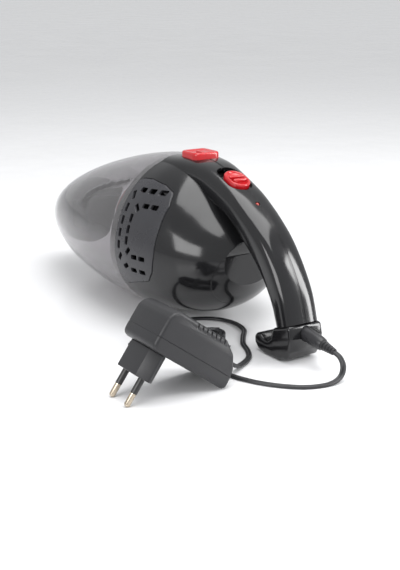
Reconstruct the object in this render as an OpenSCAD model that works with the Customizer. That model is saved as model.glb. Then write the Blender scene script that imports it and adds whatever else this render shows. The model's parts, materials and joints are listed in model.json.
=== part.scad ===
// Cordless handheld vacuum with its plug-in charger, in millimetres.
// +Z is up, the nose points to -X, the handle is at +X, and Y = 0 is the mirror plane.

/* [Body] */
// Width of the housing and dust bowl at their widest
body_w = 124; // [110:1:150]
// Height of the housing's top line above the surface it stands on
body_h = 120; // [105:1:145]
// Length of the dust bowl, from its nose to its joint with the housing
bowl_len = 193.5; // [165:0.5:232]
// Length of the housing's belly, from the bowl's joint to its rear face
belly_len = 84; // [80:1:100]
// Wall of the housing halves
wall = 2.4; // [2:0.1:3]
// Wall of the dust bowl
bowl_wall = 2.2; // [1.8:0.1:2.8]

/* [Handle] */
// Width of the grip
handle_w = 30; // [26:0.5:36]
// Depth of the grip, from its back to its finger side
handle_d = 22; // [19:0.5:26]
// Distance from the bowl's joint to the back of the grip
handle_reach = 149.5; // [145:0.5:170]

/* [Controls] */
// Length and width of the bowl release button
button_size = 22; // [18:0.5:26]
// Travel of the release button
button_travel = 2.5; // [1.5:0.1:3]
// Length of the on-off slider
slider_len = 21; // [18:0.5:24]
// Travel of the on-off slider
slider_travel = 7; // [5:0.5:9]

/* [Inside] */
// Diameter of the motor
motor_d = 36; // [28:0.5:44]
// Length of the motor
motor_len = 48; // [38:1:54]
// Diameter of the fan wheel
fan_d = 66; // [54:1:70]
// Outer diameter of the filter's seat ring
filter_d = 78; // [66:1:86]
// Length of the filter in front of its seat
filter_len = 60; // [45:1:75]
// Diameter of a battery cell
cell_d = 14.5; // [12:0.1:15.5]
// Length of a battery cell
cell_len = 50; // [40:0.5:52]

/* [Charger] */
// Width of the charger's case
case_w = 38; // [34:1:44]
// Length of the charger's case
case_len = 64; // [56:1:76]
// Thickness of the charger's case
case_t = 28; // [25:0.5:33]
// Width of the flat twin lead
lead_w = 4; // [3.6:0.1:4.4]
// Thickness of the flat twin lead
lead_t = 2.2; // [2:0.1:2.4]

/* [Hidden] */
$fn = 40;
slip = 0.3;                 // gap between pieces that slide or turn past each other
seat = 0.15;                // gap between pieces that are fixed to each other
slab = 0.2;                 // thickness of one loft section
sides = 32;                 // corners of one body section
half_w = body_w / 2;
joint_x = 22;               // plane where the bowl meets the housing
nose_x = joint_x - bowl_len;
rear_x = joint_x + belly_len;
grip_x = joint_x + handle_reach;
axis_z = 60 / 120 * body_h; // height of the fan, motor and filter axis

// Sections along the bowl, from the nose back: [along, half width, top, bottom] as shares of
// bowl_len, half_w and body_h
BOWL = [[0, 0.22, 0.49, 0.31], [0.085, 0.44, 0.585, 0.215], [0.265, 0.70, 0.72, 0.105],
        [0.47, 0.875, 0.835, 0.035], [0.68, 0.97, 0.925, 0.003], [0.86, 1, 0.98, -0.002],
        [1, 1, 1, 0.008]];
// Sections along the belly, from the bowl's joint back
BELLY = [[0, 1, 1, 0.008], [0.21, 0.985, 0.985, 0.025], [0.45, 0.92, 0.925, 0.055],
         [0.63, 0.82, 0.835, 0.092], [0.77, 0.71, 0.745, 0.142], [0.90, 0.55, 0.665, 0.217],
         [1, 0.35, 0.59, 0.317]];
mid_share = 0.45;           // height of a section's widest line, as a share of body_h
// Back line of the spine and grip: [x from the joint as a share of handle_reach,
// z as a share of body_h, half width as a share of handle_w, depth as a share of handle_d]
SPINE = [[0.004, 1.001, 0.78, 0.9], [0.13, 1.006, 0.70, 0.92], [0.27, 0.99, 0.61, 0.95],
         [0.39, 0.945, 0.57, 0.97], [0.53, 0.875, 0.54, 0.97], [0.62, 0.812, 0.53, 1],
         [0.70, 0.745, 0.52, 1.06], [0.79, 0.65, 0.51, 1.05], [0.875, 0.52, 0.50, 0.98],
         [0.943, 0.375, 0.50, 0.9], [0.985, 0.225, 0.49, 0.86]];

// Smooth curve through a list of rows, sampled `steps` times between each pair
function row(v, i) = v[max(0, min(len(v) - 1, i))];
function curve_at(v, i, t) =
    let (a = row(v, i - 1), b = row(v, i), c = row(v, i + 1), d = row(v, i + 2))
    0.5 * (2 * b + (c - a) * t + (2 * a - 5 * b + 4 * c - d) * t * t
        + (3 * b - a - 3 * c + d) * t * t * t);
function curve(v, steps) = concat(
    [for (i = [0 : len(v) - 2], k = [0 : steps - 1]) curve_at(v, i, k / steps)], [v[len(v) - 1]]);

// Corners of one egg-shaped section, [y, z], grown by `grow`
function egg(hw, top, bottom, grow) =
    let (mid = min(mid_share * body_h, (top * 0.5 + bottom * 0.5) * 1.02))
    [for (k = [0 : sides - 1]) let (a = 360 * (k + 0.5) / sides)
        [(hw + grow) * cos(a), mid + (sin(a) > 0 ? top - mid + grow : mid - bottom + grow) * sin(a)]];
function section_of(s) = [s[1] * half_w, s[2] * body_h, s[3] * body_h];

// One thin section standing across X, its slab before or behind x
module section(x, s, grow, behind) {
    q = section_of(s);
    translate([behind ? x : x - slab, 0, 0]) rotate([90, 0, 90])
        linear_extrude(slab) polygon(egg(q[0], q[1], q[2], grow));
}
// Solid through a list of sections; a positive trim moves an end inwards
module body_loft(rows, x0, length, grow, front_trim, rear_trim) {
    pts = curve(rows, 2);
    last = len(pts) - 1;
    x1 = x0 + length;
    function at(i) = i == 0 ? x0 + front_trim : i == last ? x1 - rear_trim
        : max(x0 + front_trim, min(x1 - rear_trim, x0 + pts[i][0] * length));
    for (i = [0 : last - 1]) hull() {
        section(at(i), pts[i], grow, true);
        section(at(i + 1), pts[i + 1], grow, false);
    }
}
module bowl_solid(grow, front_trim = 0, rear_trim = 0)
    body_loft(BOWL, nose_x, bowl_len, grow, front_trim, rear_trim);
module belly_solid(grow, front_trim = 0, rear_trim = 0)
    body_loft(BELLY, joint_x, belly_len, grow, front_trim, rear_trim);

// One section of the spine, with rounded corners, square to the back line
module spine_section(p, slope, grow) {
    hw = p[2] * handle_w + grow;
    depth = p[3] * handle_d;
    r = 6;
    translate([joint_x + p[0] * handle_reach, 0, p[1] * body_h]) rotate([0, slope, 0])
        rotate([90, 0, 90]) linear_extrude(slab, center = true) hull() {
            for (s = [-1, 1]) translate([s * (hw - r), -r + grow]) circle(r, $fn = 16);
            for (s = [-1, 1]) translate([s * (hw - r - 1), r - depth - grow]) circle(r, $fn = 16);
        }
}
function spine_slope(pts, i) =
    let (a = row(pts, i - 1), b = row(pts, i + 1))
    atan2((a[1] - b[1]) * body_h, (b[0] - a[0]) * handle_reach);
module spine_solid(grow, tail = 0) {
    pts = curve(SPINE, 2);
    last = len(pts) - 1;
    for (i = [0 : last - 1]) hull() {
        spine_section(pts[i], spine_slope(pts, i), grow);
        spine_section(pts[i + 1], spine_slope(pts, i + 1), grow);
    }
    if (tail > 0) hull() for (d = [0, tail])
        translate([0, 0, -d]) spine_section(pts[last], spine_slope(pts, last), grow);
}

// ---- places that several pieces share
button_x = joint_x + 20;                 // centre of the release button
spine_top = 1.005 * body_h;              // top of the spine there
slider_share = 0.43;                     // place of the on-off slider along the spine
slider_x = joint_x + slider_share * handle_reach;
slider_z = 0.926 * body_h;
slider_tilt = 20.5;                      // slope of the spine there
led_x = joint_x + 0.615 * handle_reach;
led_z = 0.812 * body_h;
led_tilt = 31;
well_depth = 2.6;                        // depth of the slider's well
well_floor = 1.8;                        // thickness of the well's floor
panel_t = 1.6;                           // thickness of a vent panel
panel_proud = 0.5;                       // how far it stands proud of the housing
spigot_len = 10;                         // how far the front frame reaches into the bowl
frame_t = 3;                             // thickness of the front frame's plate
fan_x = joint_x + frame_t;               // front of the fan housing
fan_gap = 2;                             // gap between the fan wheel and its housing
fan_t = 1.8;                             // wall of the fan housing
wheel_h = 9;                             // length of the fan wheel
motor_x = fan_x + fan_t + fan_gap + wheel_h + 4; // front face of the motor
shaft_d = 3;
shaft_out = wheel_h + 3.5;               // shaft in front of the motor
foot_z = 26;                             // top of the foot, where the grip ends
foot_w = 28;                             // width of the foot
grip_end_x = joint_x + 0.985 * handle_reach;
plug_tilt = 8;                           // slope of the charging plug, down to the rear
plug_x = grip_x - 5;                     // front face of the charging plug
plug_z = 20.5;
plug_d = 9.5;
plug_len = 20;
barrel_d = 5.5;
barrel_len = 9.5;
jack_d = 10;
jack_len = 14;
screw_d = 3;
screw_head_d = 5.6;
boss_d = 8;
screw_bite = 6;                          // length of a screw inside the left half
// screws through both halves: [x, z]
SCREWS = [[joint_x + 12, 0.105 * body_h], [joint_x + 50, 0.765 * body_h],
          [joint_x + 0.695 * handle_reach, 0.64 * body_h], [joint_x + 0.84 * handle_reach, 0.433 * body_h]];

// How far the right half's screw seat lies from the mirror plane
function screw_seat(p) = p[0] > joint_x + 70 ? 7 : p[1] < 0.3 * body_h ? 16 : 20;

module along_x(x, z = axis_z) { translate([x, 0, z]) rotate([0, 90, 0]) children(); }
module on_spine(x, z, tilt) { translate([x, 0, z]) rotate([0, tilt, 0]) children(); }
module at_plug() { translate([plug_x, 0, plug_z]) rotate([0, 90 + plug_tilt, 0]) children(); }
module rounded_box(size, r) {
    hull() for (x = [-1, 1], y = [-1, 1])
        translate([x * (size[0] / 2 - r), y * (size[1] / 2 - r), 0]) cylinder(size[2], r, r, $fn = 24);
}

stem_w = 4.6;                            // stem of the slider, through the well's floor
stem_len = 7;
slider_rest_gap = 0.5;                   // how far the slider's travel lies in front of its well's middle
switch_top = -well_depth - well_floor - 1.4; // top of the slide switch, below the spine
board_w = 0.95 * handle_w - 2 * wall;
board_t = 1.6;
board_front = -13;                       // front of the circuit board, from the slider's centre
board_len = 31;
board_low = switch_top - 6 - board_t;    // its underside

// ---- housing
// Everything of the belly behind a leaning plane, which the rear cover closes
module rear_cut(shift = 0) {
    translate([rear_x - 17 + shift, -half_w, 0.1 * body_h]) rotate([0, 19, 0])
        translate([0, 0, -30]) cube([60, body_w, body_h]);
}
// Outline of a vent panel seen from the side, [x from the joint, share of body_h]
PANEL = [[1, 0.88], [14, 0.885], [28, 0.865], [38, 0.83], [42.5, 0.76], [44, 0.64], [44, 0.47],
         [42, 0.38], [36, 0.31], [20, 0.275], [5, 0.24], [1, 0.27]];
module panel_outline(inset) {
    offset(r = 3, $fn = 24) offset(delta = -3 - inset)
        polygon([for (p = PANEL) [joint_x + p[0], p[1] * body_h]]);
}
module side_prism(side, inset) {
    translate([0, side > 0 ? half_w + 6 : -8, 0]) rotate([90, 0, 0])
        linear_extrude(half_w - 2) panel_outline(inset);
}
// Vent slots: a C of straight runs and two corners. [x, z, turn] of slot i of n
function c_path(d, front, top, low, r1, r2, end) =
    let (run = end - front, a1 = run - r1, q1 = r1 * 1.5708, b = top - low - r1 - r2, q2 = r2 * 1.5708)
    d < a1 ? [end - d, top, 0]
    : d < a1 + q1 ? let (g = (d - a1) / r1 * 57.296) [front + r1 - r1 * sin(g), top - r1 + r1 * cos(g), g]
    : d < a1 + q1 + b ? [front, top - r1 - (d - a1 - q1), 90]
    : d < a1 + q1 + b + q2 ? let (g = (d - a1 - q1 - b) / r2 * 57.296)
        [front + r2 - r2 * cos(g), low + r2 - r2 * sin(g), 90 + g]
    : [front + r2 + (d - a1 - q1 - b - q2), low, 180];
function c_length(front, top, low, r1, r2, end) =
    2 * (end - front) - r1 - r2 + (top - low - r1 - r2) + 1.5708 * (r1 + r2);
slot_len = 6.2;
slot_w = 3.4;
module slot_row(side, n, front, top, low, r1, r2, end) {
    for (i = [0 : n - 1]) {
        p = c_path(c_length(front, top, low, r1, r2, end) * i / (n - 1), front, top, low, r1, r2, end);
        translate([joint_x + p[0], side * (half_w - 20), p[1]]) rotate([0, p[2], 0])
            cube([slot_len, 60, slot_w], center = true);
    }
}
module slots(side) {
    slot_row(side, 12, 6, 0.825 * body_h, 0.36 * body_h, 8, 16, 32);
    slot_row(side, 9, 15.5, 0.745 * body_h, 0.445 * body_h, 7, 10, 33);
}
module housing_solid() {
    difference() {
        union() {
            difference() {
                belly_solid(0);
                rear_cut();
            }
            spine_solid(0);
        }
        belly_solid(-wall, -1, wall);
        spine_solid(-wall, 4);
        translate([joint_x - 4, -half_w, 0]) cube([4, body_w, 2 * body_h]);
    }
}
module boss_row(side) {
    for (p = SCREWS) translate([p[0], 0, p[1]]) rotate([side > 0 ? -90 : 90, 0, 0])
        cylinder(half_w, boss_d / 2, boss_d / 2, $fn = 24);
}
module housing_half(side) {
    intersection() {
        translate([-half_w, side > 0 ? 0 : -body_w, 0]) cube([2 * grip_x, body_w, 2 * body_h]);
        difference() {
            union() {
                housing_solid();
                intersection() {
                    boss_row(side);
                    union() {
                        difference() {
                            belly_solid(-0.5);
                            rear_cut(-1);
                        }
                        spine_solid(-0.5);
                    }
                }
                // ledge under the circuit board's edge
                intersection() {
                    on_spine(slider_x, slider_z, slider_tilt)
                        translate([board_front + 2, side > 0 ? board_w / 2 - 2 : -handle_w, board_low - 1.5])
                            cube([board_len - 4, handle_w - board_w / 2 + 2, 1.5]);
                    spine_solid(-0.5);
                }
            }
            // recess and window for the vent panel
            difference() {
                side_prism(side, -seat);
                belly_solid(panel_proud - panel_t - seat, -1, -1);
            }
            side_prism(side, 4);
            // well of the release button
            translate([button_x, 0, spine_top - 12])
                rounded_box([button_size + 2 * slip, button_size + 2 * slip, 30], 5);
            // well of the slider, with the slot for its stem
            on_spine(slider_x, slider_z, slider_tilt) {
                translate([0, 0, -well_depth])
                    rounded_box([slider_len + slider_travel + 3, 19, 20], 9);
                translate([-slider_rest_gap, 0, -12])
                    rounded_box([slider_travel + stem_len + 0.5, stem_w + 1, 20], 2.5);
            }
            on_spine(led_x, led_z, led_tilt) translate([0, 0, -8]) cylinder(16, 1.7, 1.7, $fn = 24);
            at_plug() translate([0, 0, -jack_len - 6]) cylinder(jack_len + 7, jack_d / 2 + seat, jack_d / 2 + seat);
            for (p = SCREWS) translate([p[0], 0, p[1]]) rotate([90, 0, 0]) {
                translate([0, 0, -half_w])
                    cylinder(half_w + screw_bite + 1, screw_d / 2 + seat, screw_d / 2 + seat, $fn = 20);
                translate([0, 0, -half_w - screw_seat(p)])
                    cylinder(half_w, screw_head_d / 2 + slip, screw_head_d / 2 + slip, $fn = 24);
            }
        }
    }
}
module left_housing() { color([0.09, 0.09, 0.1]) housing_half(-1); }
module right_housing() { color([0.09, 0.09, 0.1]) housing_half(1); }
module vent_panel(side) {
    color([0.17, 0.17, 0.18]) difference() {
        intersection() {
            side_prism(side, seat);
            difference() {
                belly_solid(panel_proud, 0, -1);
                belly_solid(panel_proud - panel_t, -1, -2);
            }
            translate([joint_x + 0.6, -body_w, 0]) cube([body_w, 2 * body_w, 2 * body_h]);
        }
        slots(side);
    }
}
module vent_panel_left() { vent_panel(-1); }
module vent_panel_right() { vent_panel(1); }
module rear_cover() {
    color([0.12, 0.12, 0.13]) difference() {
        intersection() {
            belly_solid(0);
            rear_cut(seat);
        }
        belly_solid(-wall, -1, wall);
        spine_solid(seat);
    }
}

// ---- front frame, seal and dust bowl
// The slice from x to x + t of the bowl's or belly's inside
module bowl_slice(x, t, grow) {
    intersection() {
        translate([x, -body_w, -body_h]) cube([t, 2 * body_w, 3 * body_h]);
        bowl_solid(grow, 0, -1);
    }
}
module belly_slice(x, t, grow) {
    intersection() {
        translate([x, -body_w, -body_h]) cube([t, 2 * body_w, 3 * body_h]);
        belly_solid(grow, -1);
    }
}
latch_slot_w = 15;
latch_slot_h = 25;                       // how far the latch's way reaches down
seat_r = filter_d / 2;
seal_x = joint_x - 6;                    // front of the seal's groove
seal_t = 3;
seal_depth = 0.9;                        // depth of the groove
module latch_way(x, length) {
    translate([x, -latch_slot_w / 2, body_h - latch_slot_h]) cube([length, latch_slot_w, 40]);
}
module front_frame() {
    color([0.14, 0.14, 0.15]) difference() {
        union() {
            belly_slice(joint_x, frame_t, -wall - seat);
            difference() {
                bowl_slice(joint_x - spigot_len, spigot_len + 0.01, -bowl_wall - slip);
                bowl_slice(joint_x - spigot_len - 1, spigot_len + 1, -bowl_wall - slip - 2);
            }
            along_x(joint_x - spigot_len + 2) difference() {
                cylinder(spigot_len - 2, seat_r + 2, seat_r + 2, $fn = 64);
                translate([0, 0, -1]) cylinder(spigot_len, seat_r + slip, seat_r + slip, $fn = 64);
            }
        }
        // groove for the seal
        difference() {
            bowl_slice(seal_x, seal_t, 1);
            bowl_slice(seal_x - 1, seal_t + 2, -bowl_wall - slip - seal_depth);
        }
        // guard in front of the fan
        for (ring = [0 : 2], k = [0 : 7 + ring * 4])
            rotate_about_axis(360 * k / (8 + ring * 4)) translate([joint_x - 1, 0, 9 + ring * 7])
                rotate([0, 90, 0]) cylinder(frame_t + 2, 2.2, 2.2, $fn = 20);
        latch_way(joint_x - spigot_len - 1, spigot_len + frame_t + 2);
    }
}
module rotate_about_axis(a) {
    translate([0, 0, axis_z]) rotate([a, 0, 0]) children();
}
module bowl_seal() {
    color([0.05, 0.05, 0.05]) difference() {
        bowl_slice(seal_x + 0.1, seal_t - 0.2, -bowl_wall - 0.1);
        bowl_slice(seal_x - 1, seal_t + 2, -bowl_wall - slip - seal_depth + 0.1);
        latch_way(seal_x - 1, seal_t + 2);
    }
}
mouth_x = nose_x + 2;                    // front lip of the mouth
mouth_z = 0.43 * body_h;
mouth_tilt = 42;                         // lean of the mouth's plane from upright
duct_x = nose_x + 38;                    // front of the inlet plate
duct_len = 22;
duct_w = 38;
duct_h = 20;
duct_z = 0.40 * body_h;                  // centre of the duct
duct_wall = 1.6;
duct_top = duct_z + duct_h / 2 + duct_wall;
ear_t = 2.4;                             // thickness of an ear of the flap's hinge
flap_t = 1.4;
flap_pin_d = 2;
flap_x = duct_x + duct_len + 1.6;        // axis of the flap's hinge
flap_z = duct_top + 2.2;
module mouth_cut() {
    translate([mouth_x, -half_w, mouth_z]) rotate([0, -mouth_tilt, 0])
        translate([-60, 0, -120]) cube([60, body_w, 160]);
}
catch_x = joint_x - 9;                   // front of the rib that the latch holds
catch_z = body_h - bowl_wall - 3.2;      // its underside
module dust_bowl() {
    color([0.3, 0.3, 0.31, 0.6]) difference() {
        bowl_solid(0);
        bowl_solid(-bowl_wall, bowl_wall, -1);
        mouth_cut();
    }
    color([0.3, 0.3, 0.31, 0.6]) translate([catch_x, -5, catch_z]) cube([2, 10, 3.4]);
}
module inlet_duct() {
    color([0.13, 0.13, 0.14]) difference() {
        union() {
            intersection() {
                translate([duct_x, -half_w, 0]) cube([2, body_w, body_h]);
                bowl_solid(-bowl_wall - seat, bowl_wall, 1);
            }
            translate([duct_x, -duct_w / 2 - duct_wall, duct_z - duct_h / 2 - duct_wall])
                cube([duct_len, duct_w + 2 * duct_wall, duct_h + 2 * duct_wall]);
            // ears of the flap's hinge
            for (s = [-1, 1]) translate([duct_x + duct_len - 3, s * (duct_w / 2 + duct_wall - ear_t / 2) - ear_t / 2,
                                         duct_top - 1])
                cube([6.5, ear_t, 5]);
        }
        translate([duct_x - 1, -duct_w / 2, duct_z - duct_h / 2]) cube([duct_len + 2, duct_w, duct_h]);
        translate([flap_x, 0, flap_z]) rotate([90, 0, 0])
            cylinder(duct_w + 8, flap_pin_d / 2 + 0.05, flap_pin_d / 2 + 0.05, center = true);
    }
}
module inlet_flap() {
    low_top = flap_z - 4.2;              // top of the wide leaf, clear of the ears as it swings
    low = duct_z - duct_h / 2 - 1;
    neck_w = duct_w + 2 * (duct_wall - ear_t - slip);
    color([0.06, 0.06, 0.06]) union() {
        translate([duct_x + duct_len + slip, -duct_w / 2 - 1, low]) cube([flap_t, duct_w + 2, low_top - low]);
        translate([duct_x + duct_len + slip, -neck_w / 2, low_top - 1]) cube([flap_t, neck_w, flap_z - low_top + 1]);
        translate([flap_x, 0, flap_z]) rotate([90, 0, 0])
            cylinder(duct_w + 2 * duct_wall, flap_pin_d / 2, flap_pin_d / 2, center = true);
    }
}

// ---- filter
filter_tip_r = 0.52 * seat_r;
filter_x = joint_x - 1;                  // back face of the filter's ring
module filter_frame() {
    color([0.72, 0.09, 0.08]) difference() {
        along_x(filter_x - filter_len) rotate_extrude($fn = 64) difference() {
            polygon([[0, -2], [filter_tip_r, -2], [filter_tip_r + 1.8, 0], [seat_r - 3, filter_len - 8],
                     [seat_r, filter_len - 8], [seat_r, filter_len], [0, filter_len]]);
            polygon([[-1, 0], [filter_tip_r - 0.4, 0], [seat_r - 5, filter_len - 8],
                     [seat_r - 5, filter_len + 1], [-1, filter_len + 1]]);
        }
        for (k = [0 : 7]) rotate_about_axis(45 * k + 22.5)
            translate([filter_x - filter_len + 6, -filter_tip_r * 0.29, 0])
                cube([filter_len - 20, filter_tip_r * 0.58, 2 * seat_r]);
    }
}
module filter_cartridge() {
    color([0.78, 0.77, 0.73]) along_x(filter_x - filter_len) rotate_extrude($fn = 64)
        polygon([[0, 0.2], [filter_tip_r - 0.9, 0.2], [seat_r - 5.7, filter_len - 8],
                 [seat_r - 5.7, filter_len - 2], [seat_r - 7.5, filter_len - 2],
                 [seat_r - 7.5, filter_len - 8], [filter_tip_r - 2.4, 2], [0, 2]]);
}

// ---- release button, latch and spring
latch_x = joint_x + 42;                  // pivot of the latch
latch_z = body_h - 11.5;
latch_w = 10;
latch_t = 4;                             // thickness of its lever
latch_pin_d = 3;
hook_t = 3;
button_foot_z = latch_z + latch_t / 2 + 0.2;
button_top = spine_top + 4;
fan_r = fan_d / 2 + fan_gap + fan_t;     // outer radius of the fan housing
spring_x = fan_x + 8;
spring_z = axis_z + fan_r + 1.2;
spring_d = 7;
spring_wire = 0.8;
spring_turns = 5;
module release_button() {
    color([0.78, 0.07, 0.07]) difference() {
        union() {
            translate([button_x, 0, button_foot_z]) cylinder(button_top - 3 - button_foot_z, 3, 3);
            translate([button_x, 0, spine_top - 3.5])
                rounded_box([button_size, button_size, button_top - spine_top + 3.5], 4.5);
        }
        translate([button_x, 0, button_top + 37.8]) sphere(39.2, $fn = 64);
    }
}
module release_latch() {
    color([0.2, 0.2, 0.21]) difference() {
        union() {
            translate([catch_x - 0.6 - hook_t, -latch_w / 2, latch_z - latch_t / 2])
                cube([latch_x - catch_x + 0.6 + hook_t, latch_w, latch_t]);
            translate([catch_x - 0.6 - hook_t, -latch_w / 2, latch_z - latch_t / 2])
                cube([hook_t, latch_w, catch_z - slip - latch_z + latch_t / 2]);
            translate([latch_x, 0, latch_z]) rotate([90, 0, 0]) cylinder(latch_w, 4, 4, center = true);
        }
        translate([latch_x, 0, latch_z]) rotate([90, 0, 0])
            cylinder(latch_w + 1, latch_pin_d / 2 + 0.05, latch_pin_d / 2 + 0.05, center = true);
    }
}
module latch_pin() {
    color([0.7, 0.7, 0.72]) translate([latch_x, 0, latch_z]) rotate([90, 0, 0])
        cylinder(1.15 * handle_w - 2 * wall + 1, latch_pin_d / 2, latch_pin_d / 2, center = true);
}
// Coil of round wire, swept as a helix
module release_spring() {
    steps = 14;
    n = spring_turns * steps;
    rise = latch_z - latch_t / 2 - 0.1 - spring_z - spring_wire;
    r = (spring_d - spring_wire) / 2;
    pts = [for (i = [0 : n], k = [0 : 5]) let (a = 360 * i / steps, b = 60 * k, q = r + spring_wire / 2 * cos(b))
        [q * cos(a), q * sin(a), spring_wire / 2 + rise * i / n + spring_wire / 2 * sin(b)]];
    faces = concat([[for (k = [0 : 5]) k]], [[for (k = [5 : -1 : 0]) n * 6 + k]],
        [for (i = [0 : n - 1], k = [0 : 5]) [i * 6 + k, (i + 1) * 6 + k, (i + 1) * 6 + (k + 1) % 6, i * 6 + (k + 1) % 6]]);
    color([0.75, 0.75, 0.76]) translate([spring_x, 0, spring_z]) polyhedron(pts, faces);
}

// ---- fan and motor
module fan_housing() {
    color([0.2, 0.2, 0.22]) {
        along_x(fan_x) difference() {
            union() {
                cylinder(fan_t + fan_gap + wheel_h + 1, fan_r, fan_r, $fn = 64);
                translate([-(spring_z - axis_z), 0, spring_x - fan_x]) rotate([0, 90, 0])
                    cylinder(4, spring_d / 2 + 1, spring_d / 2 + 1, $fn = 32);
            }
            translate([0, 0, fan_t]) cylinder(60, fan_r - fan_t, fan_r - fan_t, $fn = 64);
            translate([0, 0, -1]) cylinder(10, 0.28 * fan_d, 0.28 * fan_d, $fn = 64);
        }
    }
}
module impeller() {
    color([0.85, 0.85, 0.82]) along_x(fan_x + fan_t + fan_gap) difference() {
        union() {
            translate([0, 0, wheel_h - 1.6]) cylinder(1.6, fan_d / 2, fan_d / 2, $fn = 64);
            cylinder(wheel_h, 6, 6);
            for (k = [0 : 8]) rotate([0, 0, 40 * k]) translate([0, fan_d * 0.21, 0])
                intersection() {
                    difference() {
                        cylinder(wheel_h, fan_d * 0.21, fan_d * 0.21);
                        translate([0, 0, -1]) cylinder(wheel_h + 2, fan_d * 0.21 - 1.2, fan_d * 0.21 - 1.2);
                    }
                    translate([3.5, -fan_d * 0.21, 0]) cube([fan_d, fan_d * 0.42, wheel_h]);
                }
        }
        translate([0, 0, -1]) cylinder(wheel_h + 2, shaft_d / 2, shaft_d / 2);
    }
}
module motor_shaft() {
    color([0.7, 0.7, 0.72]) along_x(motor_x - shaft_out) cylinder(shaft_out + motor_len - 3, shaft_d / 2, shaft_d / 2);
}
module motor() {
    color([0.6, 0.61, 0.63]) along_x(motor_x) difference() {
        union() {
            cylinder(motor_len - 4, motor_d / 2, motor_d / 2, $fn = 64);
            translate([0, 0, -2]) cylinder(3, 6, 6);
            translate([0, 0, motor_len - 5]) cylinder(5, motor_d / 2 - 3, motor_d / 2 - 3);
        }
        translate([0, 0, -3]) cylinder(motor_len, shaft_d / 2 + 0.05, shaft_d / 2 + 0.05);
    }
}
// Plate that carries the motor at the back of the fan housing
module motor_mount() {
    color([0.2, 0.2, 0.22]) along_x(fan_x + fan_t + fan_gap + wheel_h + 1.01) difference() {
        union() {
            cylinder(2, fan_r, fan_r, $fn = 64);
            cylinder(12, motor_d / 2 + 2.4, motor_d / 2 + 2.4, $fn = 64);
        }
        translate([0, 0, motor_x - fan_x - fan_t - fan_gap - wheel_h - 1.01])
            cylinder(30, motor_d / 2, motor_d / 2, $fn = 64);
        translate([0, 0, -1]) cylinder(30, 6 + slip, 6 + slip);
        for (k = [0 : 11]) rotate([0, 0, 30 * k]) translate([motor_d / 2 + 8, 0, -1]) cylinder(4, 3.4, 3.4, $fn = 24);
    }
}

// ---- battery, board and switch
cell_pitch = cell_d + 0.9;
// Cell centres, [x from the joint, z]: the last one lies just below the motor
CELLS = [[29, 0.185 * body_h], [29 + cell_pitch, 0.205 * body_h],
         [29 + 2 * cell_pitch, axis_z - motor_d / 2 - cell_d / 2 - 2.75]];
module battery_cells() {
    color([0.15, 0.4, 0.25]) for (p = CELLS) translate([joint_x + p[0], 0, p[1]]) rotate([90, 0, 0]) {
        translate([0, 0, -cell_len / 2]) cylinder(cell_len - 1.5, cell_d / 2, cell_d / 2);
        translate([0, 0, cell_len / 2 - 1.6]) cylinder(1.6, cell_d / 5, cell_d / 5);
    }
}
module battery_tray() {
    color([0.2, 0.2, 0.22]) difference() {
        intersection() {
            belly_solid(-wall - slip);
            translate([joint_x + CELLS[0][0] - cell_d / 2 - 2, -cell_len * 0.4, 0])
                cube([CELLS[2][0] - CELLS[0][0] + cell_d - 2, cell_len * 0.8, CELLS[0][1]]);
        }
        for (p = CELLS) translate([joint_x + p[0], 0, p[1]]) rotate([90, 0, 0])
            cylinder(cell_len + 20, cell_d / 2 + seat, cell_d / 2 + seat, center = true);
        translate([SCREWS[0][0], 0, SCREWS[0][1]]) rotate([90, 0, 0])
            cylinder(body_w, boss_d / 2 + slip, boss_d / 2 + slip, center = true);
    }
}
module switch_slider() {
    color([0.78, 0.07, 0.07]) on_spine(slider_x, slider_z, slider_tilt) translate([slider_travel / 2 - slider_rest_gap, 0, 0]) {
        translate([0, 0, -well_depth + slip]) rounded_box([slider_len, 16, well_depth + 2], 7.8);
        for (k = [-1, 1]) translate([k * 3.2, 0, 1]) rounded_box([2, 13, 3], 0.9);
        translate([0, 0, switch_top + 0.3]) rounded_box([stem_len, stem_w, -switch_top - 0.3 - well_depth + slip + 1], 2.2);
    }
}
module slide_switch() {
    color([0.3, 0.3, 0.32]) on_spine(slider_x, slider_z, slider_tilt)
        translate([-12, -5, switch_top - 6]) cube([24, 10, 6]);
}
module circuit_board() {
    on_spine(slider_x, slider_z, slider_tilt) {
        color([0.1, 0.35, 0.2]) translate([board_front, -board_w / 2, board_low]) cube([board_len, board_w, board_t]);
        color([0.1, 0.1, 0.1]) translate([-9, -4, board_low - 2]) cube([7, 5, 2]);
        color([0.6, 0.6, 0.3]) translate([8, -4, board_low - 3]) cube([6, 6, 3]);
    }
}
module charge_led() {
    color([0.9, 0.3, 0.2]) on_spine(led_x, led_z, led_tilt) {
        translate([0, 0, -7]) cylinder(6, 1.5, 1.5, $fn = 24);
        translate([0, 0, -1]) sphere(1.5, $fn = 24);
        translate([0, 0, -7.5]) cylinder(1, 2, 2, $fn = 24);
    }
}
module housing_screws() {
    color([0.7, 0.7, 0.72]) for (p = SCREWS) translate([p[0], screw_seat(p), p[1]]) rotate([90, 0, 0]) {
        cylinder(screw_seat(p) + screw_bite, screw_d / 2, screw_d / 2, $fn = 24);
        translate([0, 0, -2.2]) cylinder(2.2, screw_head_d / 2, screw_head_d / 2, $fn = 24);
    }
}

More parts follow.
